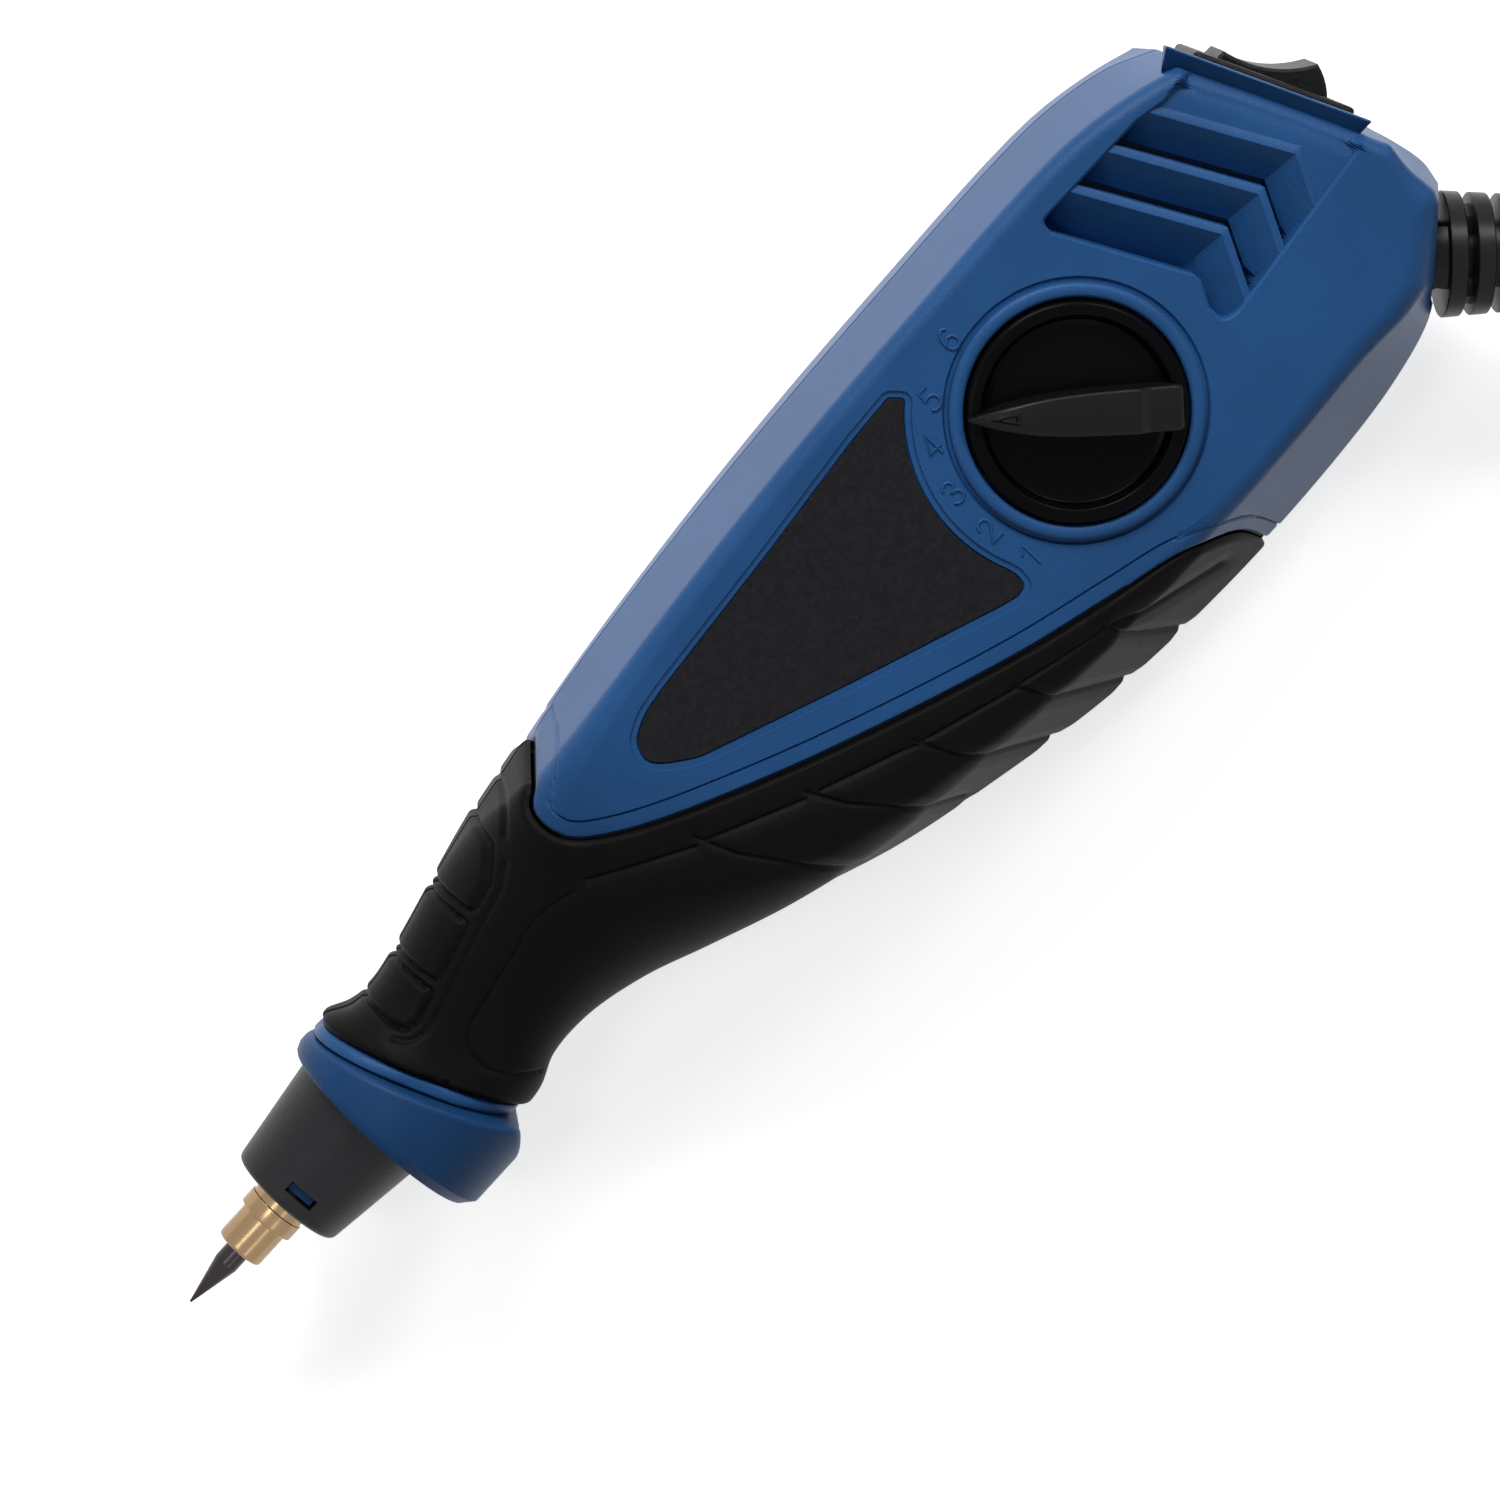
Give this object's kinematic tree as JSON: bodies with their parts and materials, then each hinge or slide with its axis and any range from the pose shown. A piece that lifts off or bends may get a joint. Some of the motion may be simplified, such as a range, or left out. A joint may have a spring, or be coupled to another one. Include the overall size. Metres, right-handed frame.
{
  "type": "electric engraving pen",
  "caption": "Corded hand engraver: a carbide bit shaken by a solenoid in a two-part housing with a rubber grip, a stroke dial and a rear rocker switch.",
  "frame": {"origin": "centre of the pen's own box in plan, on the flat screw side that the pen lies on; the cord, the strain relief and the plug aren't counted", "axes": "+X from the bit to the rear along the bit's axis, +Y towards the straight back, +Z out of the dial side"},
  "size_m": [0.3188, 0.1211, 0.0426],
  "materials": {
    "blue_plastic": "satin moulded plastic with a fine grain",
    "black_plastic": "satin black moulded plastic",
    "rubber": "soft matt black overmould",
    "label_film": "finely textured dark film",
    "brass": "turned and polished",
    "carbide": "ground",
    "steel": "plated",
    "laminations": "stamped and oiled",
    "bronze": "sintered",
    "nylon": "natural",
    "enamelled_copper": "wound enamelled wire",
    "live_sleeve": "brown sleeve",
    "neutral_sleeve": "blue sleeve"
  },
  "bodies": {
    "housing": {"dial_side_shell": "blue_plastic", "dial_side_grip": "rubber", "screw_side_shell": "blue_plastic", "screw_side_grip": "rubber", "finger_guard": "blue_plastic", "nose_cone": "black_plastic", "front_bush": "bronze", "return_spring": "steel", "guide_bush": "bronze", "solenoid_yoke": "laminations", "coil_bobbin": "nylon", "coil_winding": "enamelled_copper", "label_plate": "label_film", "live_lead": "live_sleeve", "load_lead": "live_sleeve", "neutral_lead": "neutral_sleeve", "dial_spring_washer": "steel", "switch_body": "black_plastic", "switch_terminal_live": "brass", "switch_terminal_load": "brass", "housing_screw_1": "steel", "housing_screw_2": "steel", "housing_screw_3": "steel", "housing_screw_4": "steel", "housing_screw_5": "steel", "strain_relief": "rubber", "cord_tail": "rubber", "cord_drop": "rubber", "cord_coil": "rubber", "cord_end": "rubber", "plug_body": "rubber", "plug_blade_left": "brass", "plug_blade_right": "brass"},
    "plunger": {"engraving_bit": "carbide", "chuck": "brass", "chuck_grub_screw": "steel", "drive_rod": "steel", "solenoid_core": "laminations", "core_cap": "nylon"},
    "dial": {"dial_knob": "black_plastic", "dial_cam": "nylon", "dial_screw": "steel"},
    "rocker": {"switch_rocker": "black_plastic"}
  },
  "joints": [
    {"name": "plunger_slide", "type": "slide", "parent": "housing", "child": "plunger", "axis": [1, 0, 0], "range_m": [0, 0.0015], "stiffness_N_per_m": 1000, "springref_m": -0.002, "deforming": ["return_spring"]},
    {"name": "dial_turn", "type": "hinge", "parent": "housing", "child": "dial", "pos_m": [0.04881, 0.00362, 0.0357], "axis": [0, 0, 1], "range_deg": [-33, 67]},
    {"name": "rocker_tilt", "type": "hinge", "parent": "housing", "child": "rocker", "pos_m": [0.08898, 0.00936, 0.019], "axis": [0, 0, -1], "range_deg": [0, 24]}
  ]
}
